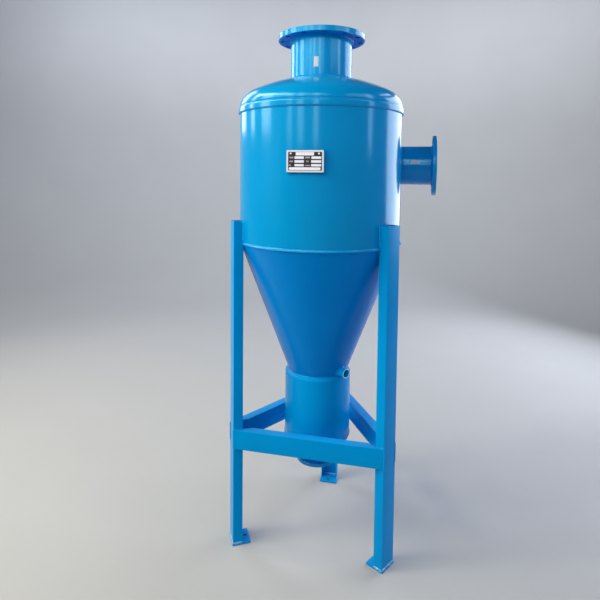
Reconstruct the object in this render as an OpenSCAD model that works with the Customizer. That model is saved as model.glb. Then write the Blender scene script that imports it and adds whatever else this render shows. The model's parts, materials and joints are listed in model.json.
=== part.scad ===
// Cyclone separator: a welded steel vessel on three channel legs, with a tangential
// inlet at the back, an outlet on top that reaches down inside as a vortex finder,
// and a sand pot under the cone with a drain.
// Millimetres. The origin is on the vessel's axis at floor level, +Z up.
// The nameplate is on the -Y side and the inlet flange faces +X.

/* [Vessel] */
// Outside diameter of the straight shell
shell_d = 860; // [780:10:960]
// Plate thickness of the shell, head, cone and pot
wall = 8; // [6:1:10]
// Straight shell from the cone seam up to the lower edge of the head
shell_h = 675; // [600:5:900]
// Height of the cone, seam to lower end
cone_h = 700; // [560:2:800]

/* [Head] */
// Straight skirt of the dished head
head_skirt = 30; // [20:1:50]
// Step from the skirt in to the dished head, rounded on its edge
head_step = 6; // [4:0.5:7]
// Gap between the top of the shell and the step inside the skirt
lap_end = 2; // [1:0.5:4]
// Gap between the shell and the skirt that laps it
lap_gap = 0.5; // [0.3:0.1:1]

/* [Sand pot] */
// Outside diameter of the pot
pot_d = 356; // [320:2:400]
// Straight height of the pot
pot_h = 337; // [300:1:450]
// Radius of the pot's rounded shoulder
shoulder_r = 18; // [14:1:24]
// Level step between the shoulder and the cone that stands on it
shoulder_land = 1; // [0.5:0.5:6]

/* [Outlet on top] */
// Outside diameter of the outlet pipe
outlet_d = 325; // [273:1:325]
// Plate thickness of the outlet pipe
outlet_wall = 8; // [6:1:10]
// Height of the outlet face above the crown of the head
outlet_standout = 217; // [150:1:300]
// How far the vortex finder ends below the inlet pipe
finder_drop = 52; // [30:1:90]
// Outside diameter of the outlet flange
outlet_flange_d = 460; // [440:5:520]
// Thickness of the outlet flange with its raised face
outlet_flange_t = 28; // [22:1:34]
// Outlet bolt circle in from the flange's edge
outlet_bolt_edge = 25; // [20:0.5:28]
// Bolt hole of the outlet flange
outlet_hole_d = 26; // [18:1:28]
// Number of outlet bolt holes
outlet_holes = 12; // [8:4:16]
// Edge of the outlet's raised face in from the bolt circle
outlet_face_edge = 20; // [16:0.5:24]

/* [Inlet at the back] */
// Outside diameter of the inlet pipe
inlet_d = 219; // [168:1:219]
// Plate thickness of the inlet pipe
inlet_wall = 7; // [6:1:8]
// Gap between the inlet pipe and the shell's inner face where it runs in
inlet_gap = 12; // [8:1:30]
// Inlet axis below the lower edge of the head
inlet_down = 258; // [200:2:300]
// Inlet face from the vessel's axis
inlet_reach = 616; // [560:2:700]
// Outside diameter of the inlet flange
inlet_flange_d = 340; // [320:5:380]
// Thickness of the inlet flange with its raised face
inlet_flange_t = 24; // [20:1:28]
// Inlet bolt circle in from the flange's edge
inlet_bolt_edge = 22.5; // [18:0.5:26]
// Bolt hole of the inlet flange
inlet_hole_d = 22; // [18:1:24]
// Number of inlet bolt holes
inlet_holes = 12; // [8:4:12]
// Edge of the inlet's raised face in from the bolt circle
inlet_face_edge = 15.5; // [13:0.5:18]

/* [Drain] */
// Height of the drain face above the floor
drain_face_z = 383; // [340:1:440]
// Drain face to the lowest point of the pot
drain_drop = 68; // [60:1:90]
// Outside diameter of the drain pipe
drain_d = 108; // [89:1:108]
// Plate thickness of the drain pipe
drain_wall = 5; // [4:1:7]
// Outside diameter of the drain flange
drain_flange_d = 220; // [210:1:250]
// Thickness of the drain flange with its raised face
drain_flange_t = 20; // [18:1:24]
// Drain bolt circle in from the flange's edge
drain_bolt_edge = 20; // [16:0.5:22]
// Bolt hole of the drain flange
drain_hole_d = 18; // [14:1:20]
// Number of drain bolt holes
drain_holes = 8; // [4:4:8]
// Edge of the drain's raised face in from the bolt circle
drain_face_edge = 12; // [11:0.5:15]

/* [Flanges in general] */
// Height of a raised face
rf_h = 2; // [1:0.5:3]
// How far a pipe's end lies back from the flange face
pipe_recess = 6; // [4:1:10]
// Edge chamfer of a flange
flange_chamfer = 1; // [0.5:0.5:2]

/* [Flush socket] */
// Outside diameter of the threaded socket
socket_d = 52; // [44:1:56]
// Bore of the socket at its thread
socket_bore = 39; // [30:1:40]
// Depth of the socket's bore
socket_depth = 30; // [20:1:34]
// Hole through the vessel behind the bore
socket_hole = 30; // [16:1:30]
// How far the socket's face stands out past the pot
socket_standout = 36; // [30:1:60]
// How far the socket's lower side sinks below the seam of cone and pot
socket_sink = 2; // [1:0.5:4]
// Direction of the socket seen from above
socket_az = -34.5; // [-50:0.5:-20]

/* [Legs] */
// Width of the channel across its web
channel_b = 100; // [80:1:120]
// Depth of the channel's flanges
channel_c = 50; // [44:1:60]
// Thickness of the web
channel_web = 5.5; // [5:0.5:7]
// Thickness of a flange at its tip
channel_tip = 6.5; // [6:0.5:8]
// Thickness of a flange at its root
channel_root = 10; // [9:0.5:12]
// Root fillet of the channel
channel_fillet = 8; // [4:1:10]
// Length of leg that lies against the shell above the cone seam
leg_lap = 115; // [80:5:180]
// How far the flange tips are coped to the shell
leg_cope = 2; // [1.5:0.5:4]

/* [Feet] */
// Radial length of a foot plate
foot_l = 96; // [90:1:140]
// Width of a foot plate
foot_w = 104; // [104:1:160]
// Thickness of a foot plate
foot_t = 10; // [8:1:16]
// How far a foot plate shows outside the web
foot_lip = 3; // [0:1:10]
// Anchor hole
anchor_d = 18; // [14:1:20]
// Anchor hole from the inner edge of the plate
anchor_in = 22; // [18:1:24]

/* [Cross beams] */
// Height of the beams' middle above the floor
beam_z = 575; // [400:1:700]

/* [Nameplate] */
// Width of the nameplate
name_w = 172; // [140:1:200]
// Height of the nameplate
name_h = 100; // [80:1:130]
// Thickness of the nameplate
name_t = 1.5; // [1:0.5:3]
// Thickness of the bracket behind it
bracket_t = 3; // [2:0.5:4]
// Gap between the bracket and the shell at its middle
bracket_gap = 9; // [5:1:20]
// Margin of the bracket round the nameplate
bracket_rim = 2; // [1:1:10]
// Direction of the nameplate seen from above
name_az = -88; // [-100:1:-80]
// Middle of the nameplate below the lower edge of the head
name_down = 258; // [200:1:320]

/* [Weld beads] */
// Width of a seam bead
bead_w = 13; // [10:1:16]
// Height of a seam bead
bead_t = 3; // [2:0.5:4]
// Leg length of a fillet weld
fillet_w = 7; // [5:0.5:7]

/* [Hidden] */

$fn = 180;
eps = 1;                                  // overshoot of a cut past the face it opens

// Heights, from the floor up
pot_r = pot_d / 2;
pot_dish_h = pot_d / 4;                   // two-to-one elliptical bottom
pot_low_z = drain_face_z + drain_drop;
pot_tan_z = pot_low_z + pot_dish_h;
pot_top_z = pot_tan_z + pot_h;
cone_low_z = pot_top_z + shoulder_r;
cone_top_z = cone_low_z + cone_h;
head_low_z = cone_top_z + shell_h;
head_tan_z = head_low_z + head_skirt;
inlet_z = head_low_z - inlet_down;

// Radii
shell_r = shell_d / 2;
shell_in = shell_r - wall;
cone_low_r = pot_r - shoulder_r - shoulder_land;
cone_low_in = cone_low_r - wall;
outlet_r = outlet_d / 2;
inlet_r = inlet_d / 2;
drain_r = drain_d / 2;
socket_reach = pot_r + socket_standout;

// Dished head: crown radius equals its diameter, knuckle a tenth of it; its skirt laps the shell
skirt_r = shell_r + lap_gap + wall;
head_r = skirt_r - head_step;
crown_r = 2 * head_r;
knuckle_r = 0.1 * crown_r;
crown_drop = sqrt(pow(crown_r - knuckle_r, 2) - pow(head_r - knuckle_r, 2));
crown_z = head_tan_z - crown_drop;        // centre of the crown's sphere
knuckle_a = atan2(crown_drop, head_r - knuckle_r);
step_z = head_tan_z - head_step;
outlet_face_z = crown_z + crown_r + outlet_standout;
finder_low_z = inlet_z - inlet_r - finder_drop;

// The inlet runs in tangentially, its outer side just inside the shell's inner face
inlet_y = shell_in - inlet_gap - inlet_r;

// Legs stand at three points of the circle, the beams close the triangle between them
leg_az = [-30, -150, 90];
beam_az = [-90, 30, 150];
leg_r = sqrt(pow(shell_r, 2) - pow(channel_b / 2, 2)) - leg_cope + channel_c;
leg_top_z = cone_top_z + leg_lap;
half_gap = 60;                            // half the angle between two legs
beam_off = leg_r * cos(half_gap) + channel_b / 2 * sin(half_gap);
foot_in = leg_r + foot_lip - foot_l;
anchor_r = foot_in + anchor_in;

socket_z = cone_low_z + socket_d / 2 - socket_sink;

steel_blue = [0.02, 0.46, 0.76];
weld_blue = [0.05, 0.52, 0.80];
plate_dark = [0.10, 0.11, 0.12];

// Points of an arc about (cx, cy), from angle a0 to a1 in n steps; ry flattens it to an ellipse
function arc_points(cx, cy, rx, ry, a0, a1, n) =
    [for (i = [0:n]) let (a = a0 + (a1 - a0) * i / n) [cx + rx * cos(a), cy + ry * sin(a)]];

function reversed(list) = [for (i = [len(list) - 1:-1:0]) list[i]];

// Meridian of the dished head at depth t under its outer face, from the step to radius r_hole
function head_line(t, r_hole) = concat(
    arc_points(head_r - knuckle_r, head_tan_z, knuckle_r - t, knuckle_r - t, 0, knuckle_a, 10),
    [for (i = [1:12])
        let (a = knuckle_a + (acos(r_hole / (crown_r - t)) - knuckle_a) * i / 12)
        [(crown_r - t) * cos(a), crown_z + (crown_r - t) * sin(a)]]
);

// Meridian of the pot's elliptical bottom at depth t, from its tangent line to radius r_hole
function dish_line(t, r_hole) = let (a1 = -acos(r_hole / (pot_r - t)))
    arc_points(0, pot_tan_z, pot_r - t, pot_dish_h - t, 0, a1, 16);

// Meridian of the pot's rounded shoulder at depth t, from the straight pot up to radius r_hole
function shoulder_line(t, r_hole) = concat(
    arc_points(pot_r - shoulder_r, pot_top_z, shoulder_r - t, shoulder_r - t, 0, 90, 8),
    [[r_hole, pot_top_z + shoulder_r - t]]
);

// Solid outline of the vessel below the head, filled to the axis
module vessel_fill() {
    polygon(concat(
        [[0, cone_top_z + shell_h], [shell_r, cone_top_z + shell_h], [shell_r, cone_top_z],
         [cone_low_r, cone_low_z]],
        reversed(shoulder_line(0, cone_low_r)),
        dish_line(0, drain_r),
        [[0, pot_tan_z]]
    ));
}

module head_fill() {
    polygon(concat([[0, head_tan_z]], head_line(0, outlet_r), [[0, crown_z + crown_r]]));
}

// Ring of weld on the seam at radius r and height z: a low rounded cap
module seam_bead(r, z) {
    rotate_extrude()
        difference() {
            polygon(concat(
                [[r - bead_t - wall / 2, z + bead_w / 2]],
                reversed(arc_points(r, z, bead_t, bead_w / 2, -90, 90, 8)),
                [[r - bead_t - wall / 2, z - bead_w / 2]]
            ));
            vessel_fill();
        }
}

// Ring of fillet weld in the corner at radius r and height z, rising if up is 1, hanging if it is -1
module fillet_bead(r, z, up) {
    rotate_extrude()
        polygon([[r, z], [r + fillet_w, z], [r + 0.55 * fillet_w, z + up * 0.45 * fillet_w],
                 [r, z + up * fillet_w]]);
}

module tube(r, t, z0, z1) {
    translate([0, 0, z0])
        difference() {
            cylinder(h = z1 - z0, r = r);
            translate([0, 0, -eps])
                cylinder(h = z1 - z0 + 2 * eps, r = r - t);
        }
}

// Plate flange with its face at z = 0 and the pipe coming from below; bolt holes straddle the axes
module flange(d, t, bore_r, bolt_edge, hole_d, holes, face_edge) {
    c = flange_chamfer;
    bolt_r = d / 2 - bolt_edge;
    rf_r = bolt_r - face_edge;
    difference() {
        rotate_extrude()
            polygon([[bore_r, -t], [d / 2 - c, -t], [d / 2, -t + c], [d / 2, -rf_h - c],
                     [d / 2 - c, -rf_h], [rf_r, -rf_h], [rf_r, 0], [bore_r, 0]]);
        for (i = [0:holes - 1])
            rotate((i + 0.5) * 360 / holes)
                translate([bolt_r, 0, -t - eps])
                    cylinder(h = t + 2 * eps, d = hole_d, $fn = 32);
    }
}

module to_inlet() {
    translate([inlet_reach, inlet_y, inlet_z])
        rotate([0, 90, 0])
            children();
}

module to_socket() {
    rotate(socket_az)
        translate([socket_reach, 0, socket_z])
            rotate([0, 90, 0])
                children();
}

// Drilling behind the socket's bore, through the cone's wall
module socket_drill() {
    to_socket()
        translate([0, 0, -socket_reach + cone_low_in - 2 * wall])
            cylinder(h = socket_reach - cone_low_in + 2 * wall - socket_depth, d = socket_hole);
}

// Rolled channel: web at x = 0, flanges towards -x, their inner faces sloping, roots filleted
module channel_section() {
    h = channel_b / 2;
    w = channel_web;
    f = channel_fillet;
    lower = concat(
        [[0, -h], [-channel_c, -h], [-channel_c, -h + channel_tip]],
        arc_points(-w - f, -h + channel_root + f, f, f, -90, 0, 4)
    );
    polygon(concat(lower, reversed([for (p = lower) [p[0], -p[1]]])));
}

module leg(az) {
    color(steel_blue)
        difference() {
            rotate(az)
                translate([leg_r, 0, foot_t])
                    linear_extrude(height = leg_top_z - foot_t)
                        channel_section();
            translate([0, 0, cone_top_z - 2 * bead_w])
                cylinder(h = leg_lap + 2 * bead_w + eps, r = shell_r);
            translate([0, 0, cone_top_z - bead_w / 2 - lap_gap])
                cylinder(h = bead_w + 2 * lap_gap, r = shell_r + bead_t + lap_gap);
        }
}

module foot(az) {
    color(steel_blue)
        rotate(az)
            difference() {
                translate([foot_in, -foot_w / 2, 0])
                    cube([foot_l, foot_w, foot_t]);
                translate([anchor_r, 0, -eps])
                    cylinder(h = foot_t + 2 * eps, d = anchor_d, $fn = 32);
            }
}

// Channel beam, its web outward, mitred against the flanges of the two legs beside it
module beam(az) {
    color(steel_blue)
        rotate(az)
            translate([0, 0, beam_z])
                difference() {
                    rotate([90, 0, 0])
                        linear_extrude(height = 2 * leg_r, center = true)
                            translate([beam_off, 0])
                                channel_section();
                    for (side = [-1, 1])
                        scale([1, side, 1])
                            rotate(half_gap)
                                translate([0, -channel_b / 2, -channel_b])
                                    cube([2 * leg_r, 2 * leg_r, 2 * channel_b]);
                }
}

module outlet_flange() {
    color(steel_blue)
        translate([0, 0, outlet_face_z])
            flange(outlet_flange_d, outlet_flange_t, outlet_r, outlet_bolt_edge, outlet_hole_d,
                   outlet_holes, outlet_face_edge);
}

module outlet_pipe() {
    color(steel_blue)
        tube(outlet_r, outlet_wall, finder_low_z, outlet_face_z - pipe_recess);
}

module outlet_flange_weld() {
    color(weld_blue)
        fillet_bead(outlet_r, outlet_face_z - outlet_flange_t, -1);
}

module outlet_neck_weld() {
    color(weld_blue)
        rotate_extrude()
            difference() {
                z = crown_z + sqrt(pow(crown_r, 2) - pow(outlet_r, 2));
                polygon([[outlet_r, z - fillet_w], [outlet_r + fillet_w, z - fillet_w],
                         [outlet_r + fillet_w, z], [outlet_r + 0.5 * fillet_w, z + 0.4 * fillet_w],
                         [outlet_r, z + fillet_w]]);
                head_fill();
            }
}

module top_head() {
    color(steel_blue)
        rotate_extrude()
            polygon(concat(
                [[skirt_r, head_low_z]],
                arc_points(head_r, step_z, head_step, head_step, 0, 75, 5),
                head_line(0, outlet_r),
                reversed(head_line(wall, outlet_r)),
                [[skirt_r - wall, step_z], [skirt_r - wall, head_low_z]]
            ));
}

module head_seam_weld() {
    color(weld_blue)
        fillet_bead(shell_r, head_low_z, -1);
}

module shell() {
    color(steel_blue)
        difference() {
            tube(shell_r, wall, cone_top_z, step_z - lap_end);
            to_inlet()
                translate([0, 0, -inlet_reach])
                    cylinder(h = inlet_reach, r = inlet_r);
        }
}

module cone_seam_weld() {
    color(weld_blue)
        seam_bead(shell_r, cone_top_z);
}

module cone() {
    color(steel_blue)
        difference() {
            rotate_extrude()
                polygon([[cone_low_r, cone_low_z], [shell_r, cone_top_z], [shell_in, cone_top_z],
                         [cone_low_in, cone_low_z]]);
            socket_drill();
        }
}

module pot_seam_weld() {
    color(weld_blue)
        difference() {
            rotate_extrude()
                difference() {
                    polygon([[cone_low_r, cone_low_z], [cone_low_r + 0.7 * fillet_w, cone_low_z],
                             [cone_low_r + 0.8 * fillet_w, cone_low_z + 0.6 * fillet_w],
                             [cone_low_r, cone_low_z + fillet_w]]);
                    vessel_fill();
                }
            to_socket()
                translate([0, 0, -socket_reach])
                    cylinder(h = socket_reach, d = socket_d);
        }
}

module pot_shoulder() {
    color(steel_blue)
        rotate_extrude()
            polygon(concat(shoulder_line(0, cone_low_in), reversed(shoulder_line(wall, cone_low_in))));
}

module pot_shell() {
    color(steel_blue)
        tube(pot_r, wall, pot_tan_z, pot_top_z);
}

module pot_bottom_weld() {
    color(weld_blue)
        seam_bead(pot_r, pot_tan_z);
}

module pot_bottom() {
    color(steel_blue)
        rotate_extrude()
            polygon(concat(dish_line(0, drain_r), reversed(dish_line(wall, drain_r))));
}

module drain_pipe() {
    color(steel_blue)
        tube(drain_r, drain_wall, drain_face_z + pipe_recess, pot_low_z + wall);
}

module drain_flange() {
    color(steel_blue)
        translate([0, 0, drain_face_z])
            mirror([0, 0, 1])
                flange(drain_flange_d, drain_flange_t, drain_r, drain_bolt_edge, drain_hole_d,
                       drain_holes, drain_face_edge);
}

module drain_flange_weld() {
    color(weld_blue)
        fillet_bead(drain_r, drain_face_z + drain_flange_t, 1);
}

module inlet_pipe() {
    color(steel_blue)
        difference() {
            to_inlet()
                tube(inlet_r, inlet_wall, -inlet_reach, -pipe_recess);
            translate([0, 0, cone_top_z])
                cylinder(h = shell_h, r = shell_in);
        }
}

module inlet_flange() {
    color(steel_blue)
        to_inlet()
            flange(inlet_flange_d, inlet_flange_t, inlet_r, inlet_bolt_edge, inlet_hole_d,
                   inlet_holes, inlet_face_edge);
}

module inlet_flange_weld() {
    color(weld_blue)
        to_inlet()
            fillet_bead(inlet_r, -inlet_flange_t, -1);
}

module flush_socket() {
    color(steel_blue)
        difference() {
            to_socket()
                translate([0, 0, -socket_reach + cone_low_in])
                    cylinder(h = socket_reach - cone_low_in, d = socket_d);
            rotate_extrude()
                vessel_fill();
            socket_drill();
            to_socket()
                translate([0, 0, -socket_depth])
                    cylinder(h = socket_depth + eps, d = socket_bore);
        }
}

// Folded bracket: a flat front and two cheeks that reach back to the shell
module nameplate_bracket() {
    w = name_w + 2 * bracket_rim;
    h = name_h + 2 * bracket_rim;
    front = shell_r + bracket_gap;
    cheek_in = sqrt(pow(shell_r, 2) - pow(w / 2, 2)) - wall;
    color(steel_blue)
        difference() {
            rotate(name_az)
                translate([0, 0, head_low_z - name_down - h / 2])
                    union() {
                        translate([front, -w / 2, 0])
                            cube([bracket_t, w, h]);
                        for (y = [-w / 2, w / 2 - bracket_t])
                            translate([cheek_in, y, 0])
                                cube([front - cheek_in + bracket_t, bracket_t, h]);
                    }
            translate([0, 0, cone_top_z])
                cylinder(h = shell_h, r = shell_r);
        }
}

module nameplate() {
    color(plate_dark)
        rotate(name_az)
            translate([shell_r + bracket_gap + bracket_t, -name_w / 2, head_low_z - name_down - name_h / 2])
                cube([name_t, name_w, name_h]);
}

outlet_flange();
outlet_pipe();
outlet_flange_weld();
outlet_neck_weld();
top_head();
head_seam_weld();
shell();
cone_seam_weld();
cone();
pot_seam_weld();
pot_shoulder();
pot_shell();
pot_bottom_weld();
pot_bottom();
drain_pipe();
drain_flange();
drain_flange_weld();
inlet_pipe();
inlet_flange();
inlet_flange_weld();
flush_socket();
nameplate_bracket();
nameplate();
leg(leg_az[0]);  // leg_front_right
leg(leg_az[1]);  // leg_front_left
leg(leg_az[2]);  // leg_back
foot(leg_az[0]);  // foot_front_right
foot(leg_az[1]);  // foot_front_left
foot(leg_az[2]);  // foot_back
beam(beam_az[0]);  // beam_front
beam(beam_az[1]);  // beam_back_right
beam(beam_az[2]);  // beam_back_left
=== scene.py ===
import json
import math
import bmesh
import bpy
import numpy as np
from mathutils import Matrix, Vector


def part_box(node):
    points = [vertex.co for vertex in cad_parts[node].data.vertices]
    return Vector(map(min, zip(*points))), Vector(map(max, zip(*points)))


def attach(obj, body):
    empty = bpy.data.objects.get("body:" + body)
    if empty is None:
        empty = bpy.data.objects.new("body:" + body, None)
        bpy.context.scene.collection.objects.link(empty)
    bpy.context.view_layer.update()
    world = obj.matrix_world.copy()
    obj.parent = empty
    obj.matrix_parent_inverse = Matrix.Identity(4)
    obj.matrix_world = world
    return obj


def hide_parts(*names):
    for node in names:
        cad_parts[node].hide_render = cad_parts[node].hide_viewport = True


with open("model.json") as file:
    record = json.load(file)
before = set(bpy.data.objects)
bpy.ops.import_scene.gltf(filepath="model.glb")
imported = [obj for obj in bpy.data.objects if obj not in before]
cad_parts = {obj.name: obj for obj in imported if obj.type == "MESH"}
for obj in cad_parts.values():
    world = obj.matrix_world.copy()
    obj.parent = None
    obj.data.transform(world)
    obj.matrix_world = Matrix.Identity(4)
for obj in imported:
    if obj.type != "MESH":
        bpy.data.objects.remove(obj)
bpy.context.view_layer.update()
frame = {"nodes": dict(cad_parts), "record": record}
mm = 0.001
tau = 2 * math.pi


# camera: where the photographer stood, as a pinhole fitted to edges of the vessel and its legs
cameraView = {
    "azimuth": 10.96,     # degrees round from the front, towards the inlet's side
    "distance": 2.727,    # metres from the vessel's axis
    "height": 1.942,
    "yaw": 2.24,
    "pitch": 3.23,
    "roll": 0.58,
    "focal": 503.2,       # in pixels
    "picture": 600,       # width and height of the picture in pixels
    "centreRow": 205,     # row of the optical axis, the photo is cut from a taller picture
    "sensor": 36,         # width of the sensor in millimetres
}


def aimed(right, up, ahead, place):
    # matrix of a camera or lamp, which both look along their own -z: its columns are right, up, back and place
    columns = np.stack([right, up, -ahead, place], 1)
    return Matrix(np.vstack([columns, [0, 0, 0, 1]]).tolist())


def makeCamera(view):
    # the place lies at the azimuth, x = d sin a, y = -d cos a; the view turns back by azimuth and yaw, dips by
    # the pitch, and the roll turns right and up into each other; the shift moves the optical axis to its row
    az, pitch, roll = (math.radians(view[k]) for k in ("azimuth", "pitch", "roll"))
    turn = az + math.radians(view["yaw"])
    place = np.array([view["distance"] * math.sin(az), -view["distance"] * math.cos(az), view["height"]])
    ahead = np.array([-math.sin(turn) * math.cos(pitch), math.cos(turn) * math.cos(pitch), -math.sin(pitch)])
    level = np.array([math.cos(turn), math.sin(turn), 0])
    raised = np.cross(level, ahead)
    right = math.cos(roll) * level + math.sin(roll) * raised
    up = math.cos(roll) * raised - math.sin(roll) * level
    data = bpy.data.cameras.new("photoCamera")
    data.sensor_width = view["sensor"]
    data.lens = view["focal"] / view["picture"] * data.sensor_width
    data.shift_y = (view["centreRow"] - view["picture"] / 2) / view["picture"]
    camera = bpy.data.objects.new("photoCamera", data)
    camera.matrix_world = aimed(right, up, ahead, place)
    bpy.context.scene.collection.objects.link(camera)
    bpy.context.scene.camera = camera


makeCamera(cameraView)
print("camera set")


# meshes: every shape below is one or more grids of points, kept as (points, faces, finish number)
mergeDistance = 0.01 * mm
sliverLength = 0.005 * mm


def grid(points, closeRows=False, closeColumns=False, finish=0):
    # points[i, j] become vertices, and each four neighbours a face
    rows, columns = points.shape[:2]
    index = np.arange(rows * columns).reshape(rows, columns)
    if closeRows:
        index = np.vstack([index, index[:1]])
    if closeColumns:
        index = np.hstack([index, index[:, :1]])
    faces = np.stack([index[:-1, :-1], index[:-1, 1:], index[1:, 1:], index[1:, :-1]], -1)
    return points.reshape(-1, 3), faces.reshape(-1, 4), finish


def lid(outline):
    # a flat end: one face through all points of a closed outline
    return outline, np.arange(len(outline))[None, :], 0


def tube(rings):
    # a closed section carried through its rings, with a lid at each end
    return [grid(rings, closeColumns=True), lid(rings[0]), lid(rings[-1])]


def placed(parts, origin, axes):
    # turns local x, y, z into the three axes and moves them to the origin
    turn, move = np.array(axes, float), np.array(origin, float)
    return [(points @ turn + move, faces, finish) for points, faces, finish in parts]


def makeObject(name, parts, finishes, sharp=32):
    # one mesh of all parts, the vertex numbers of each part counted on from the one before; double points are
    # merged, faces turned outwards, and edges sharper than so many degrees stay sharp
    starts = np.cumsum([0] + [len(points) for points, _, _ in parts])
    faces = [row for start, part in zip(starts, parts) for row in (part[1] + start).tolist()]
    finishOf = np.repeat([finish for _, _, finish in parts], [len(rows) for _, rows, _ in parts])
    mesh = bpy.data.meshes.new(name)
    mesh.from_pydata(np.vstack([points for points, _, _ in parts]).tolist(), [], faces)
    mesh.polygons.foreach_set("material_index", finishOf.astype(np.int32))
    for finish in finishes:
        mesh.materials.append(finish)
    work = bmesh.new()
    work.from_mesh(mesh)
    bmesh.ops.remove_doubles(work, verts=work.verts, dist=mergeDistance)
    bmesh.ops.dissolve_degenerate(work, edges=work.edges, dist=sliverLength)
    bmesh.ops.recalc_face_normals(work, faces=work.faces)
    for face in work.faces:
        face.smooth = True
    work.to_mesh(mesh)
    work.free()
    mesh.set_sharp_from_angle(angle=math.radians(sharp))
    made = bpy.data.objects.new(name, mesh)
    bpy.context.scene.collection.objects.link(made)
    return made


def makePiece(name, parts, finishes, replaced=()):
    # an object of the one fixed body, shown in place of the nodes it replaces
    piece = makeObject(name, parts, finishes)
    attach(piece, "root")
    if replaced:
        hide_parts(*replaced)


# profiles in a plane, and what carries them
def arc(cx, cy, rx, ry, start, end, steps):
    # x = cx + rx cos a, y = cy + ry sin a
    a = np.radians(np.linspace(start, end, steps + 1))
    return np.stack([cx + rx * np.cos(a), cy + ry * np.sin(a)], 1)


def softened(outline, radii, steps):
    # each corner of a closed outline turns into a parabola that starts and ends one radius from it
    outline = np.array(outline, float)
    reach = np.broadcast_to(np.array(radii, float), len(outline))[:, None]
    before = np.roll(outline, 1, 0) - outline
    after = np.roll(outline, -1, 0) - outline
    start = outline + before / np.linalg.norm(before, axis=1, keepdims=True) * reach
    end = outline + after / np.linalg.norm(after, axis=1, keepdims=True) * reach
    t = np.linspace(0, 1, steps + 1)[None, :, None]
    bend = (1 - t) ** 2 * start[:, None] + 2 * t * (1 - t) * outline[:, None] + t ** 2 * end[:, None]
    return bend.reshape(-1, 2)


def dense(line, step):
    # points are added so that none are further apart than the step
    pieces = [np.linspace(a, b, max(1, math.ceil(np.linalg.norm(b - a) / step)), endpoint=False)
              for a, b in zip(line[:-1], line[1:])]
    return np.vstack(pieces + [line[-1:]])


def revolved(line, steps, finish=0):
    # radius and height carried round the axis: x = r cos t, y = r sin t
    t = np.arange(steps) * tau / steps
    r, z = line[:, 0, None], line[:, 1, None]
    return grid(np.stack([r * np.cos(t), r * np.sin(t), z + 0 * t], -1), closeColumns=True, finish=finish)


def walledRound(outer, inner, steps):
    # a wall between an outer and an inner line, with its two end faces; the inner side has finish 1
    return [revolved(outer, steps), revolved(inner, steps, 1),
            revolved(np.stack([outer[0], inner[0]]), steps), revolved(np.stack([outer[-1], inner[-1]]), steps)]


# rolled plate is never quite round: waves round the turn, as lobes, phase, twist from end to end, share
rolledWaves = [(3, 0.7, 1.5, 1), (5, 2.1, -2, 0.7), (9, 4, 3, 0.45), (14, 1, -5, 0.3)]


def plateWave(parts, depth, low, high):
    # radius grows by depth times the sum of share * sin(lobes * t + phase + twist * h), faded out at both ends
    # by the root of sin(pi h), where h goes from 0 at the low end to 1 at the high one
    changed = []
    for points, faces, finish in parts:
        t = np.arctan2(points[:, 1], points[:, 0])
        h = np.clip((points[:, 2] - low) / (high - low), 0, 1)
        waves = sum(share * np.sin(lobes * t + phase + twist * h) for lobes, phase, twist, share in rolledWaves)
        wave = waves * np.sin(np.pi * h) ** 0.5
        grown = points.copy()
        grown[:, :2] *= (1 + depth * wave / np.hypot(points[:, 0], points[:, 1]).clip(1 * mm))[:, None]
        changed.append((grown, faces, finish))
    return changed


# weld beads: a small section carried along a path, its size rising and falling with each ripple of the weld
weld = {
    "pitch": 6 * mm,                         # ripple spacing, about twice the real one so that it shows
    "ripple": 0.16,                          # share of the size lost at the end of each ripple
    "wander": 0.10,                          # slow change of size along the seam
    "waves": np.array([2, 5, 11, 23]),       # of that change, as waves along the whole seam
    "waveShares": np.array([0.3, 0.3, 0.25, 0.15]),
    "bow": 0.35,                             # ripples bow forward at their middle, as a share of the pitch
    "drift": 0.3,                            # and are unevenly spaced by this share of it
    "endRun": 1.2,                           # an open bead rounds off over this many widths
    "least": 0.02,                           # how far into that run its end face lies, as a share of it
    "spacing": 1.5 * mm,                     # of the points along the path
    "fewestRound": 120,
    "fewestStraight": 8,
    "seedStep": 20,                          # between the seeds of one leg's or beam's beads and the next's
}
beadSections = {
    # across the seam and out from it, as shares of the two widths; the last points lie inside the metal
    "fillet": np.vstack([arc(0, 0, 1, 1, 0, 90, 6) ** 1.35, [[-0.2, -0.2]]]),
    "cap": np.vstack([arc(0, 0, 1, 1, 180, 0, 8), [[1, -0.9], [-1, -0.9]]]),
    # long flat upper flank, short lower one
    "brow": np.array([[-0.45, 0], [-0.38, 0.5], [-0.2, 0.85], [0, 1], [0.3, 0.87], [0.65, 0.46], [1, 0.05],
                      [1, -0.6], [-0.45, -0.6]]),
}


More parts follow.
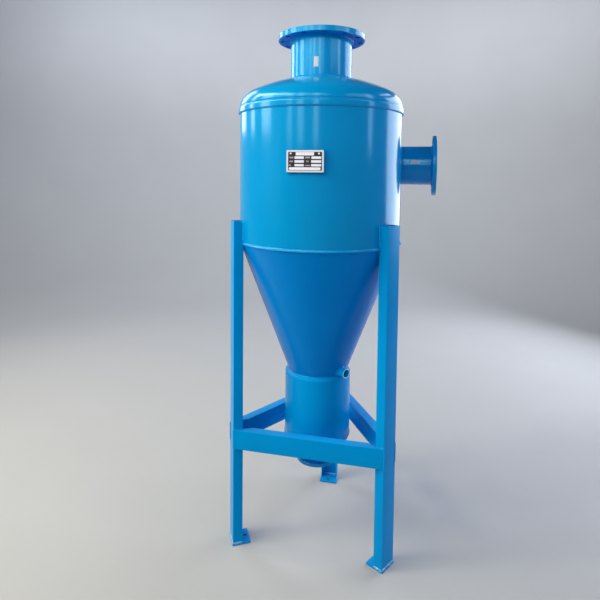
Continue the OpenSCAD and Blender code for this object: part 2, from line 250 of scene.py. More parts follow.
def bead(path, dirA, dirB, widthA, widthB, closed, seed, section="fillet"):
    # section point k = path + dirA * widthA * ca(k) + dirB * widthB * cb(k), both widths times one factor:
    # (1 + wander * slow waves) * (1 - ripple * phase squared), and at open ends a quarter circle
    steps = np.linalg.norm(np.diff(path, axis=0, append=path[:1] if closed else path[-1:]), axis=1)
    length = steps.sum()
    s = np.concatenate([[0], np.cumsum(steps)[:-1]])
    draw = np.random.default_rng(seed)
    ca, cb = beadSections[section].clip(-1, 1).T
    phases = draw.uniform(0, tau, len(weld["waves"]))
    slow = np.sin(tau * weld["waves"] * s[:, None] / length + phases) @ weld["waveShares"]
    count = max(1, round(length / weld["pitch"]))
    lead = weld["bow"] * np.abs(np.linspace(-1, 1, len(ca)))[None, :] ** 2
    phase = (s[:, None] / length * count + lead + weld["drift"] * slow[:, None]) % 1
    size = (1 + weld["wander"] * slow)[:, None] * (1 - weld["ripple"] * phase ** 2)
    if not closed:
        near = np.minimum(s, length - s)[:, None] / (weld["endRun"] * max(widthA, widthB))
        size = size * np.sqrt(1 - (1 - np.clip(near, weld["least"], 1)) ** 2)
    wa, wb = widthA * size * ca, widthB * size * cb
    rings = path[:, None] + dirA[:, None] * wa[..., None] + dirB[:, None] * wb[..., None]
    return [grid(rings, closeRows=True, closeColumns=True)] if closed else tube(rings)


def ringBead(radius, height, wayA, wayB, widthA, widthB, seed, section="fillet"):
    # a bead round the axis, path = (r cos t, r sin t, height); the ways are (outward, up) pairs
    count = max(weld["fewestRound"], round(tau * radius / weld["spacing"]))
    t = np.arange(count) / count * tau
    out = np.stack([np.cos(t), np.sin(t), 0 * t], 1)
    up = np.array([[0, 0, 1.0]])
    dirs = [out * w[0] + up * w[1] for w in (wayA, wayB)]
    return bead(out * radius + up * height, *dirs, widthA, widthB, True, seed, section)


def straightBead(start, end, wayA, wayB, widthA, widthB, seed, section="fillet"):
    # a bead along path = start + (end - start) * t, with the same two ways at every point
    start, end = np.array(start, float), np.array(end, float)
    count = max(weld["fewestStraight"], round(np.linalg.norm(end - start) / weld["spacing"]))
    path = start + (end - start) * np.linspace(0, 1, count)[:, None]
    dirs = [np.tile(way, (count, 1)) for way in (wayA, wayB)]
    return bead(path, *dirs, widthA, widthB, False, seed, section)


# finishes
def colour(text):
    # sRGB hex to linear: v / 12.92 up to 0.04045, above it ((v + 0.055) / 1.055) to the power of 2.4
    srgb = np.array([int(text[i:i + 2], 16) for i in (1, 3, 5)]) / 255
    return (*np.where(srgb <= 0.04045, srgb / 12.92, ((srgb + 0.055) / 1.055) ** 2.4).tolist(), 1.0)


def addNode(tree, kind, settings=None, **sockets):
    # sockets are named by their own name with _ for a space, or n0, n1 by number
    made = tree.nodes.new(kind)
    for key, value in (settings or {}).items():
        setattr(made, key, value)
    for key, value in sockets.items():
        socket = made.inputs[int(key[1:])] if key[1:].isdigit() else made.inputs[key.replace("_", " ")]
        if isinstance(value, bpy.types.NodeSocket):
            tree.links.new(value, socket)
        else:
            socket.default_value = value
    return made


def newFinish(name):
    # an empty material, its node tree and the object's own coordinates in metres
    material = bpy.data.materials.new(name)
    material.use_nodes = True
    material.node_tree.nodes.clear()
    tree = material.node_tree
    return material, tree, addNode(tree, "ShaderNodeTexCoord").outputs["Object"]


def finishOff(tree, shader):
    # the shader goes to the material's surface
    addNode(tree, "ShaderNodeOutputMaterial", Surface=shader.outputs["BSDF"])


enamel = {
    # colour and the slightly deeper one of a thick pass
    "vessel": ("#008ECF", "#0083C6"),
    # the cone's pair is a darker copy of the vessel's blue, painted shade; the frame's pair, used on pot, legs,
    # beams and welds, is a lighter copy, painted light
    "cone": ("#0080D4", "#0077CA"),
    "frame": ("#0095DE", "#008AD3"),
    "dust": "#6E9DB8",
    "shine": "#A8E4FF",        # tint of what the vessel mirrors head-on
    # a deeper blue tint of what cone, pot, legs and flanges mirror: painted shade in their reflections
    "paintedShadeShine": "#1CCBFF",     # the same on cone, pot and legs, which the photo shows deeper blue
    "passScale": 5.0,          # thick and thin spray passes, 200 mm apart
    "dustScale": 35.0,         # dust settles in patches of 30 mm
    "peelScale": 160.0,        # orange peel, real 3 mm, drawn at 6 mm so that it shows
    "sagScale": 14.0,          # slow unevenness of 70 mm
    "sagShare": 2.0,           # its height beside that of the peel
    "relief": 0.4 * mm,
    "facing": (0.6, 1.0),      # upward part of the normal over which dust goes from none to its full share
    "specks": (0.3, 0.75),     # noise over which the dust goes from thinnest to full
    "thinnest": 0.4,
    "dullAt": 0.5,             # share of dust at which the paint has the roughness of dust
    "dustRough": 0.55,
}


def sprayedEnamel(name, shade, rough, level, peel, dustShare, shine="shine"):
    # Gloss alkyd enamel sprayed over steel: deep even blue, streaked by what it mirrors and a little broken by
    # orange peel, thin and thick passes a shade apart, a film of shop dust on what faces up
    material, tree, place = newFinish(name)
    # the shade picks a colour pair from enamel: the cone's pair is a darker copy of the blue, painted shade, and
    # the frame's pair a lighter copy, painted light
    thin, thick = (colour(tone) for tone in enamel[shade])
    passes = addNode(tree, "ShaderNodeTexNoise", Vector=place, Scale=enamel["passScale"], Detail=2.0)
    paint = addNode(tree, "ShaderNodeMix", {"data_type": "RGBA"}, n0=passes.outputs["Fac"], n6=thin, n7=thick)
    normal = addNode(tree, "ShaderNodeNewGeometry").outputs["Normal"]
    facing = addNode(tree, "ShaderNodeSeparateXYZ", Vector=normal)
    flat = addNode(tree, "ShaderNodeMapRange", n0=facing.outputs["Z"], n1=enamel["facing"][0],
                   n2=enamel["facing"][1], n3=0.0, n4=dustShare)
    speck = addNode(tree, "ShaderNodeTexNoise", Vector=place, Scale=enamel["dustScale"], Detail=8.0,
                    Roughness=0.75)
    patchy = addNode(tree, "ShaderNodeMapRange", n0=speck.outputs["Fac"], n1=enamel["specks"][0],
                     n2=enamel["specks"][1], n3=enamel["thinnest"], n4=1.0)
    film = addNode(tree, "ShaderNodeMath", {"operation": "MULTIPLY"}, n0=flat.outputs[0], n1=patchy.outputs[0])
    dusted = addNode(tree, "ShaderNodeMix", {"data_type": "RGBA"}, n0=film.outputs[0], n6=paint.outputs[2],
                     n7=colour(enamel["dust"]))
    dull = addNode(tree, "ShaderNodeMapRange", n0=film.outputs[0], n1=0.0, n2=enamel["dullAt"], n3=rough,
                   n4=enamel["dustRough"])
    orange = addNode(tree, "ShaderNodeTexNoise", Vector=place, Scale=enamel["peelScale"], Detail=2.0)
    sag = addNode(tree, "ShaderNodeTexNoise", Vector=place, Scale=enamel["sagScale"], Detail=1.0)
    both = addNode(tree, "ShaderNodeMath", {"operation": "MULTIPLY_ADD"}, n0=sag.outputs["Fac"],
                   n1=enamel["sagShare"], n2=orange.outputs["Fac"])
    bump = addNode(tree, "ShaderNodeBump", Strength=peel, Distance=enamel["relief"], Height=both.outputs[0])
    shader = addNode(tree, "ShaderNodeBsdfPrincipled", Base_Color=dusted.outputs[2], Roughness=dull.outputs[0],
                     IOR=1.5, Specular_IOR_Level=level, Specular_Tint=colour(enamel[shine]),
                     Normal=bump.outputs[0])
    finishOff(tree, shader)
    return material


cloudy = {
    "tones": (0.35, 0.75),     # noise over which the second tone comes in
    "roughs": (0.3, 0.7),      # and over which the roughness goes from its least to its most
    "swing": 0.15,             # share by which it falls below and rises above its value
    "grain": 0.4,
}


def plainFinish(name, tone, roughness, patch, scale, patchTone, metallic=0.0, depth=0.0):
    # one colour with a soft cloud of a second one and a fine grain
    material, tree, place = newFinish(name)
    cloud = addNode(tree, "ShaderNodeTexNoise", Vector=place, Scale=scale, Detail=5.0, Roughness=0.6)
    share = addNode(tree, "ShaderNodeMapRange", n0=cloud.outputs["Fac"], n1=cloudy["tones"][0],
                    n2=cloudy["tones"][1], n3=0.0, n4=patch)
    mixed = addNode(tree, "ShaderNodeMix", {"data_type": "RGBA"}, n0=share.outputs[0], n6=colour(tone),
                    n7=colour(patchTone))
    rough = addNode(tree, "ShaderNodeMapRange", n0=cloud.outputs["Fac"], n1=cloudy["roughs"][0],
                    n2=cloudy["roughs"][1], n3=roughness * (1 - cloudy["swing"]),
                    n4=min(1.0, roughness * (1 + cloudy["swing"])))
    bump = addNode(tree, "ShaderNodeBump", Strength=cloudy["grain"], Distance=depth,
                   Height=cloud.outputs["Fac"])
    shader = addNode(tree, "ShaderNodeBsdfPrincipled", Base_Color=mixed.outputs[2], Roughness=rough.outputs[0],
                     Metallic=metallic, Normal=bump.outputs[0])
    finishOff(tree, shader)
    return material


# the vessel's own coat: glossy, with clear window streaks
glossEnamel = sprayedEnamel("sprayedGlossEnamel", "vessel", 0.15, 0.5, 0.10, 0.10)
# the same paint, each copy a little duller, with deeper blue reflections; the cone's blue is a darker copy,
# painted shade, and the blue of pot, legs and beams is a lighter copy, painted light
coneEnamelPaintedShade = sprayedEnamel("sprayedEnamelOnConePaintedShade", "cone", 0.24, 0.2, 0.14, 0.06, "paintedShadeShine")
potEnamelPaintedLight = sprayedEnamel("sprayedEnamelOnPotPaintedLight", "frame", 0.22, 0.25, 0.14, 0.06, "paintedShadeShine")
frameEnamelPaintedLight = sprayedEnamel("sprayedEnamelOnRolledSteelPaintedLight", "frame", 0.30, 0.16, 0.18, 0.05, "paintedShadeShine")
# dry overspray on the flanges, on all but their outer edge: nearly matt, in the cone's darker copy of the blue,
# which is painted shade
thinEnamel = sprayedEnamel("dryOversprayOnFlangePaintedShade", "cone", 0.5, 0.05, 0.1, 0.06, "paintedShadeShine")
# thick paint over weld ripples: each ripple glints; its blue is the frame's lighter copy, painted light
weldEnamelPaintedLight = sprayedEnamel("sprayedEnamelOverWeldPaintedLight", "frame", 0.13, 0.5, 0.12, 0.05)
# shop primer inside: matt grey, uneven where it was brushed
shopPrimer = plainFinish("mattShopPrimer", "#5B6468", 0.7, patch=0.35, scale=25.0, patchTone="#43494C",
                         depth=0.3 * mm)
# anodised aluminium plate: pale metal with a soft sheen
plateAluminium = plainFinish("satinAnodisedAluminium", "#DDE3F2", 0.35, metallic=0.35, patch=0.15, scale=400.0,
                             patchTone="#C2C9D0")
# screen-printed ink ground of the plate: near black with a blue cast
plateInk = plainFinish("screenPrintedInk", "#0C0D1C", 0.4, patch=0.2, scale=300.0, patchTone="#1B1C2E")
# bare fields of the plate: brighter, duller than the rim
plateField = plainFinish("etchedBareField", "#E4E6F8", 0.5, patch=0.2, scale=300.0, patchTone="#D0D2E4")
# worn print of the label bars: dull lavender grey
plateBar = plainFinish("wornLabelPrint", "#9A93A6", 0.5, patch=0.3, scale=500.0, patchTone="#7C768A")
# vinyl film of the two stickers: white, slightly glossy, soiled at random
stickerVinyl = plainFinish("whiteVinylFilm", "#B9C2D0", 0.38, patch=0.35, scale=120.0, patchTone="#939DA9")
# foot welds, thinly painted and scuffed by boots: pale blue, broken by bright bare spots; the pale tone and the
# spots are partly that wear and partly a painted highlight along the weld
scuffedWeldPaintedHighlight = plainFinish("scuffedEnamelOverWeldPaintedHighlight", "#2C9CDC", 0.25, patch=1.0, scale=110.0, patchTone="#D3E6F0",
                          depth=0.3 * mm)
# thin enamel on the turned mouth of the socket: a paler blue ring, its pale blue a painted highlight
mouthEnamelPaintedHighlight = plainFinish("thinEnamelOnTurnedMouthPaintedHighlight", "#8CDDFA", 0.22, patch=0.3, scale=300.0,
                          patchTone="#4DBBEA")
enamelled = [glossEnamel, shopPrimer]
potEnamelled = [potEnamelPaintedLight, shopPrimer]
print("finishes made")


# sizes that the frame gives
def corners(name):
    # lowest and highest corner of a node's box
    low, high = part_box(name)
    return np.array(low), np.array(high)


shellLow, shellHigh = corners("shell")
headLow, headHigh = corners("top_head")
coneLow = corners("cone")[0]
potLow, potHigh = corners("pot_shell")
dishLow = corners("pot_bottom")[0]

vessel = {
    "wall": 8 * mm,
    "skirt": 30 * mm,
    "step": 6 * mm,              # from the skirt in to the dished head
    "crown": 2.0,                # radius of the head's crown over the head's own radius
    "knuckle": 0.2,              # the same of its knuckle
    "shoulder": 18 * mm,
    "shoulderLand": 1 * mm,
    "plateWave": 0.22 * mm,
    "potWave": 0.6,              # share of that on the small pot
    "roundSteps": 300,           # faces round head and cone
    "potSteps": 200,
    "rowSpacing": 15 * mm,
    "dishSteps": 36,             # faces along the pot's bottom and its shoulder
    "shoulderSteps": 12,
}
shellR, skirtR, potR = shellHigh[0], headHigh[0], potHigh[0]
headR = skirtR - vessel["step"]
crownR, knuckleR = vessel["crown"] * headR, vessel["knuckle"] * headR
headTangent = headLow[2] + vessel["skirt"]
crownZ = headTangent - math.sqrt((crownR - knuckleR) ** 2 - (headR - knuckleR) ** 2)
coneTopZ, coneLowZ = shellLow[2], coneLow[2]
coneLowR = potR - vessel["shoulder"] - vessel["shoulderLand"]


# side inlet: its pipe runs in tangentially
inletLow, inletHigh = corners("inlet_flange")
inlet = {
    "y": (inletLow[1] + inletHigh[1]) / 2,
    "z": (inletLow[2] + inletHigh[2]) / 2,
    "pipe": 109.5 * mm,          # outer radius
    "wall": 7 * mm,
    "recess": 6 * mm,            # from the flange's face to the pipe's end
    "steps": 180,
    "rows": 16,
}
shellGrid = {
    "columns": 360,
    "reach": 130 * mm,           # finer rows run this far below and above the inlet's middle
    "rows": (10, 27, 6),         # below that band, in it and above it
    "block": (9, 35, 20, 78),    # first and last row and degree of the cells that the hole's rings replace
    "rings": 9,
}


def holedWall(radius, heights, finish):
    # a cylinder wall on a grid of turns and heights; the block of cells round the inlet is left out, and rings
    # fill it: each point runs straight, on the unrolled wall, from the hole's outline to the block's edge
    columns = shellGrid["columns"]
    turns = np.arange(columns) * tau / columns
    t, z = np.meshgrid(turns, heights)
    points, faces, _ = grid(np.stack([radius * np.cos(t), radius * np.sin(t), z], -1), closeColumns=True)
    a, b, c, d = shellGrid["block"]
    cell = np.arange(len(faces))
    row, column = cell // columns, cell % columns
    faces = faces[~((row >= a) & (row < b) & (column >= c) & (column < d))]
    down, across = np.arange(a, b), np.arange(c, d)
    edgeRow = np.concatenate([np.full(d - c, a), down, np.full(d - c, b), down[::-1] + 1])
    edgeColumn = np.concatenate([across, np.full(b - a, d), across[::-1] + 1, np.full(b - a, c)])
    edge = np.stack([turns[edgeColumn], heights[edgeRow]], 1)
    around = np.arctan2(edge[:, 1] - inlet["z"], radius * np.sin(edge[:, 0]) - inlet["y"])
    holeTurn = np.arcsin((inlet["y"] + inlet["pipe"] * np.cos(around)) / radius)
    hole = np.stack([holeTurn, inlet["z"] + inlet["pipe"] * np.sin(around)], 1)
    s = np.linspace(0, 1, shellGrid["rings"])[:, None, None]
    t, z = np.moveaxis(hole + (edge - hole) * s, -1, 0)
    rings = np.stack([radius * np.cos(t), radius * np.sin(t), z], -1)
    return [(points, faces, finish), grid(rings, closeColumns=True, finish=finish)], rings[0]


def shellParts():
    # outer and inner holed wall, x = r cos t, y = r sin t, a ring at each end and a band round the hole's rim
    below, beside, above = shellGrid["rows"]
    bandLow, bandHigh = inlet["z"] - shellGrid["reach"], inlet["z"] + shellGrid["reach"]
    heights = np.concatenate([np.linspace(shellLow[2], bandLow, below),
                              np.linspace(bandLow, bandHigh, beside)[1:],
                              np.linspace(bandHigh, shellHigh[2], above)[1:]])
    innerR = shellR - vessel["wall"]
    outer, outerHole = holedWall(shellR, heights, 0)
    inner, innerHole = holedWall(innerR, heights, 1)
    ends = [revolved(np.array([[shellR, z], [innerR, z]]), shellGrid["columns"])
            for z in (heights[0], heights[-1])]
    return outer + inner + ends + [grid(np.stack([outerHole, innerHole]), closeColumns=True)]


headEdge = {
    "skirtEnd": 84,              # degrees at which the skirt's rounded edge ends
    # undercut above it, in and up from where the head's knuckle starts
    "toe": [(1.8 * mm, 0.6 * mm), (2 * mm, 2.2 * mm)],
    "knuckleStart": 4,           # degrees at which the knuckle comes out of it
    "rowSpacing": 6 * mm,
    "edgeSteps": 10,             # faces along edge, knuckle and crown
    "knuckleSteps": 24,
    "crownSteps": 40,
}


def headLine(depth, hole):
    # skirt with its rounded step, knuckle and crown of the dished head, at a depth under the outer face:
    # the crown's radius is the head's diameter, the knuckle's a tenth of that
    step = vessel["step"]
    meet = math.degrees(math.atan2(headTangent - crownZ, headR - knuckleR))
    top = math.degrees(math.acos(hole / (crownR - depth)))
    bend, start = np.array([[skirtR - depth, headTangent - step]]), 0
    if depth == 0:
        # the skirt's edge is rounded long and low, with an undercut toe above it
        toe = [[headR - inwards, headTangent + upwards] for inwards, upwards in headEdge["toe"]]
        edge = arc(headR, headTangent - 2 * step, step, 2 * step, 0, headEdge["skirtEnd"], headEdge["edgeSteps"])
        bend = np.vstack([edge, toe])
        start = headEdge["knuckleStart"]
    skirt = dense(np.array([[skirtR - depth, headLow[2]], bend[0]]), headEdge["rowSpacing"])
    bow = arc(headR - knuckleR, headTangent, knuckleR - depth, knuckleR - depth, start, meet,
              headEdge["knuckleSteps"])
    crown = arc(0, crownZ, crownR - depth, crownR - depth, meet, top, headEdge["crownSteps"])
    return np.vstack([skirt[:-1], bend, bow[:-1], crown])


def dishLine(depth, hole):
    # two-to-one elliptical bottom of the pot
    high = potLow[2] - dishLow[2]
    end = -math.degrees(math.acos(hole / (potR - depth)))
    return arc(0, potLow[2], potR - depth, high - depth, 0, end, vessel["dishSteps"])


def shoulderLine(depth, hole):
    # a quarter circle from the pot's wall up and in, then a flat land to the hole, at a depth under the outside
    centre = potR - vessel["shoulder"]
    bend = vessel["shoulder"] - depth
    corner = arc(centre, potHigh[2], bend, bend, 0, 90, vessel["shoulderSteps"])
    return np.vstack([corner, [[hole, potHigh[2] + bend]]])


wall = vessel["wall"]
wave = vessel["plateWave"]
steps, potSteps = vessel["roundSteps"], vessel["potSteps"]
outletR = corners("outlet_pipe")[1][0]
drainR = corners("drain_pipe")[1][0]

shellPlate = plateWave(shellParts(), wave, shellLow[2], headLow[2])
makePiece("shellPlate", shellPlate, enamelled, ["shell"])
dishedHead = walledRound(headLine(0, outletR), headLine(wall, outletR), steps)
makePiece("dishedHead", dishedHead, enamelled, ["top_head"])
coneOuter = dense(np.array([[coneLowR, coneLowZ], [shellR, coneTopZ]]), vessel["rowSpacing"])
coneInner = dense(np.array([[coneLowR - wall, coneLowZ], [shellR - wall, coneTopZ]]), vessel["rowSpacing"])
conePlate = plateWave(walledRound(coneOuter, coneInner, steps), wave, coneLowZ, coneTopZ)
makePiece("conePlate", conePlate, [coneEnamelPaintedShade, shopPrimer], ["cone"])
potShoulder = walledRound(shoulderLine(0, coneLowR - wall), shoulderLine(wall, coneLowR - wall), potSteps)
makePiece("potShoulder", potShoulder, potEnamelled, ["pot_shoulder"])
potOuter = dense(np.array([[potR, potLow[2]], [potR, potHigh[2]]]), vessel["rowSpacing"])
potPlate = walledRound(potOuter, potOuter - [wall, 0], potSteps)
potPlate = plateWave(potPlate, vessel["potWave"] * wave, potLow[2], potHigh[2])
makePiece("potPlate", potPlate, potEnamelled, ["pot_shell"])
potBottom = walledRound(dishLine(0, drainR), dishLine(wall, drainR), potSteps)
makePiece("potBottom", potBottom, potEnamelled, ["pot_bottom"])
print("vessel plates made")


# pipes
pipes = {
    # wall and faces round
    "outlet": (8 * mm, 240),
    "drain": (5 * mm, 120),
}
pipeRowSpacing = 20 * mm


def pipeParts(radius, thick, low, high, steps):
    # a straight wall, at the radius and at the radius less its thickness, carried round
    line = dense(np.array([[radius, low], [radius, high]]), pipeRowSpacing)
    return walledRound(line, line - [thick, 0], steps)


def inletPipeParts():
    # x runs from the shell's inner face, root of (inner radius squared - y squared), to just short of the
    # flange face, and y and z round the pipe's middle
    end = inletHigh[0] - inlet["recess"]
    turn = np.arange(inlet["steps"]) * tau / inlet["steps"]
    s = np.linspace(0, 1, inlet["rows"])[:, None]
    walls = []
    for radius in (inlet["pipe"], inlet["pipe"] - inlet["wall"]):
        y = inlet["y"] + radius * np.cos(turn)
        start = np.sqrt((shellR - wall) ** 2 - y ** 2)
        height = inlet["z"] + radius * np.sin(turn)
        walls.append(np.stack([start + (end - start) * s, y + 0 * s, height + 0 * s], -1))
    sides = [grid(points, closeColumns=True, finish=finish) for finish, points in enumerate(walls)]
    return sides + [grid(np.stack([walls[0][row], walls[1][row]]), closeColumns=True) for row in (0, -1)]


for name, (thick, around) in pipes.items():
    pipeLow, pipeHigh = corners(name + "_pipe")
    pipe = pipeParts(pipeHigh[0], thick, pipeLow[2], pipeHigh[2], around)
    makePiece(name + "Pipe", pipe, enamelled, [name + "_pipe"])
makePiece("inletPipe", inletPipeParts(), enamelled, ["inlet_pipe"])
print("pipes made")


# flanges: plate ring with a raised face and round bolt holes
flanges = {
    # radii, but for the belt, which is half the width of the ring that holds the holes
    "outlet": {"node": "outlet_flange", "bore": outletR, "boltCircle": 205 * mm, "hole": 13 * mm, "count": 12,
               "raised": 185 * mm, "belt": 16 * mm},
    "inlet": {"node": "inlet_flange", "bore": inlet["pipe"], "boltCircle": 147.5 * mm, "hole": 11 * mm,
              "count": 12, "raised": 132 * mm, "belt": 13.5 * mm},
    "drain": {"node": "drain_flange", "bore": drainR, "boltCircle": 90 * mm, "hole": 9 * mm, "count": 8,
              "raised": 78 * mm, "belt": 11 * mm},
}
machining = {
    "raised": 2 * mm,            # height of the gasket face
    "chamfer": 1 * mm,
    "holeEdge": 0.8 * mm,
    "raisedEdge": 0.3 * mm,
    "boreEdge": 0.5 * mm,
    "groovePitch": 3 * mm,       # lathe grooves of the gasket face, real 0.8 mm apart, drawn wider
    "grooveDepth": 0.15 * mm,
    "outerLand": 2 * mm,         # plain bands outside and inside the grooves
    "innerLand": 3 * mm,
    "sectorSteps": 20,           # faces along a sector's arc
    "beltRows": 7,               # points across the belt
    "rings": 5,                  # lines of points from the sector's edge to the hole's rim
}
flangeWeld = {"size": 7 * mm, "boreWidth": 5 * mm, "boreDepth": 4.5 * mm, "seed": 10, "boreSeed": 20}


def flangeParts(size, radius, thick):
    # the plate's belt with the holes is a ring of sectors; in each, lines of points run from the sector's edge
    # over the top to the hole's rim, down the hole and out again below; a revolved line closes the ring outside
    # the belt, and another inside it
    count, steps, rings, c = size["count"], machining["sectorSteps"], machining["rings"], machining["chamfer"]
    raised, holeEdge = machining["raised"], machining["holeEdge"]
    raisedEdge, boreEdge = machining["raisedEdge"], machining["boreEdge"]
    half = math.pi / count
    low, high = size["boltCircle"] - size["belt"], size["boltCircle"] + size["belt"]
    a, r = np.linspace(-half, half, steps + 1), np.linspace(low, high, machining["beltRows"])
    edge = np.concatenate([np.stack([0 * a[:-1] + low, a[:-1]], 1), np.stack([r[:-1], 0 * r[:-1] + half], 1),
                           np.stack([0 * a[:-1] + high, a[:0:-1]], 1),
                           np.stack([r[:0:-1], 0 * r[:-1] - half], 1)])
    edge = np.stack([edge[:, 0] * np.cos(edge[:, 1]), edge[:, 0] * np.sin(edge[:, 1])], 1)
    around = np.arctan2(edge[:, 1], edge[:, 0] - size["boltCircle"])
    way = np.stack([np.cos(around), np.sin(around)], 1)
    middle = np.array([size["boltCircle"], 0])
    rim, bore = middle + way * (size["hole"] + holeEdge), middle + way * size["hole"]
    s = np.linspace(0, 1, rings)[:, None, None]
    top = edge + (rim - edge) * s
    flat = np.concatenate([top, [bore, bore], top[::-1]])
    heights = np.concatenate([np.full(rings, -raised), [-raised - holeEdge, -thick + holeEdge],
                              np.full(rings, -thick)])
    parts = []
    for k in range(count):
        turn = (k + 0.5) * 2 * half
        x = flat[..., 0] * math.cos(turn) - flat[..., 1] * math.sin(turn)
        y = flat[..., 0] * math.sin(turn) + flat[..., 1] * math.cos(turn)
        parts.append(grid(np.stack([x, y, heights[:, None] + 0 * x], -1), closeColumns=True, finish=1))
    outside = np.array([[high, -raised], [radius - c, -raised], [radius, -raised - c], [radius, -thick + c],
                        [radius - c, -thick], [high, -thick]])
    grooves = np.arange(size["raised"] - machining["outerLand"], size["bore"] + machining["innerLand"],
                        -machining["groovePitch"] / 2)
    face = np.stack([grooves, np.where(np.arange(len(grooves)) % 2, -machining["grooveDepth"], 0)], 1)
    inside = np.vstack([[[low, -raised], [size["raised"], -raised], [size["raised"], -raisedEdge],
                         [size["raised"] - raisedEdge, 0]], face,
                        [[size["bore"] + boreEdge, 0], [size["bore"], -boreEdge], [size["bore"], -thick],
                         [low, -thick]]])
    return parts + [revolved(outside, count * steps), revolved(inside, count * steps, 1)]


# axes of a flange whose face looks up, down or to the right
upright = [[1, 0, 0], [0, 1, 0], [0, 0, 1]]
hanging = [[1, 0, 0], [0, -1, 0], [0, 0, -1]]
sideways = [[0, 0, -1], [0, 1, 0], [1, 0, 0]]
outletLow, outletHigh = corners("outlet_flange")
drainLow, drainHigh = corners("drain_flange")
placements = {
    # middle of the face, axes, radius and thickness
    "outlet": ([0, 0, outletHigh[2]], upright, outletHigh[0], outletHigh[2] - outletLow[2]),
    "inlet": ([inletHigh[0], inlet["y"], inlet["z"]], sideways, (inletHigh[2] - inletLow[2]) / 2,
              inletHigh[0] - inletLow[0]),
    "drain": ([0, 0, drainLow[2]], hanging, drainHigh[0], drainHigh[2] - drainLow[2]),
}
for number, (name, size) in enumerate(flanges.items()):
    origin, axes, radius, thick = placements[name]
    flange = placed(flangeParts(size, radius, thick), origin, axes)
    makePiece(name + "Flange", flange, [glossEnamel, thinEnamel], [size["node"]])
    back = ringBead(size["bore"], -thick, (1, 0), (0, -1), flangeWeld["size"], flangeWeld["size"],
                    flangeWeld["seed"] + number)
    back = placed(back, origin, axes)
    # the welds behind the flanges take the cone's darker copy of the blue, painted shade
    makePiece(name + "FlangeWeld", back, [coneEnamelPaintedShade], [size["node"] + "_weld"])
    front = ringBead(size["bore"], -inlet["recess"], (-1, 0), (0, 1), flangeWeld["boreWidth"],
                     flangeWeld["boreDepth"], flangeWeld["boreSeed"] + number)
    makePiece(name + "BoreWeld", placed(front, origin, axes), [weldEnamelPaintedLight])
print("flanges made")


# seams of the vessel
slope = np.array([shellR - coneLowR, coneTopZ - coneLowZ])
slope = slope / np.linalg.norm(slope)
seamWay = (slope + [0, 1]) / np.linalg.norm(slope + [0, 1])
neckZ = crownZ + math.sqrt(crownR ** 2 - outletR ** 2)
fall = outletR / crownR
seams = {
    # radius, height, the weld's two ways and its widths along them, seed, section and the node it replaces
    "headSeamWeld": (shellR, headLow[2], (1, 0), (0, -1), 7 * mm, 7 * mm, 31, "fillet", "head_seam_weld"),
    "coneSeamWeld": (shellR, coneTopZ, seamWay, (seamWay[1], -seamWay[0]), 10 * mm, 6.5 * mm, 32, "brow",
                     "cone_seam_weld"),
    "neckWeld": (outletR, neckZ, (0, 1), (math.sqrt(1 - fall ** 2), -fall), 7 * mm, 7 * mm, 33, "fillet",
                 "outlet_neck_weld"),
    "potSeamWeld": (coneLowR, coneLowZ, slope, (1, -0.15), 5 * mm, 4.5 * mm, 34, "fillet", "pot_seam_weld"),
    "potBottomWeld": (potR, potLow[2], (0, 1), (1, 0), 6.5 * mm, 3 * mm, 35, "cap", "pot_bottom_weld"),
}
for name, (*sizes, node) in seams.items():
    makePiece(name, ringBead(*sizes), [weldEnamelPaintedLight], [node])
saddle = {"size": 7 * mm, "steps": 720, "seed": 36}


def saddleBead():
    # where the inlet pipe meets the shell's outside: both surfaces hold each point, which gives
    # x = root of (R squared - y squared)
    turn = np.arange(saddle["steps"]) * tau / saddle["steps"]
    y, z = inlet["y"] + inlet["pipe"] * np.cos(turn), inlet["z"] + inlet["pipe"] * np.sin(turn)
    x = np.sqrt(shellR ** 2 - y ** 2)
    path = np.stack([x, y, z], 1)
    along = np.roll(path, -1, 0) - np.roll(path, 1, 0)
    pipeOut = np.stack([0 * x, np.cos(turn), np.sin(turn)], 1)
    shellOut = np.stack([x, y, 0 * x], 1) / shellR
    up, away = np.cross(along, pipeOut), np.cross(along, shellOut)
    up *= np.sign(up[:, :1]) / np.linalg.norm(up, axis=1, keepdims=True)
    away /= np.linalg.norm(away, axis=1, keepdims=True)
    away *= np.sign((away * pipeOut).sum(1, keepdims=True))
    return bead(path, up, away, saddle["size"], saddle["size"], True, saddle["seed"])


makePiece("inletSaddleWeld", saddleBead(), [weldEnamelPaintedLight])
print("seams made")


# flush socket: short threaded sleeve on the cone's low end
socketMount = next(m for m in frame["record"]["mounts"] if m["name"] == "flush_socket_bore")
socket = {
    "radius": 26 * mm,         # radii of the sleeve, of its threaded bore and of the drilling behind that
    "bore": 19.5 * mm,
    "drill": 15 * mm,
    "depth": 30 * mm,
    "face": 15 * mm,           # from the middle of the bore's length to its mouth
    "inner": 60 * mm,          # from the mouth to the sleeve's end inside the vessel
    "chamfer": 1 * mm,
    "countersink": 2 * mm,
    "thread": 2.3 * mm,        # pitch of a nominal 32 pipe thread
    "threadDepth": 0.9 * mm,
    "threadStop": 4 * mm,      # left plain, countersink included
    "steps": 96,
    "weld": 4.5 * mm,
    "weldLean": 0.35,          # the weld's upper side leans outwards with the cone, its lower side inwards
    "weldSteps": 240,
    "weldSeed": 37,
}
outward = np.array(socketMount["axis"])
socketAxes = [np.cross([0, 0, 1], outward), [0, 0, 1], outward]
socketFace = np.array(socketMount["pos_m"]) + outward * socket["face"]


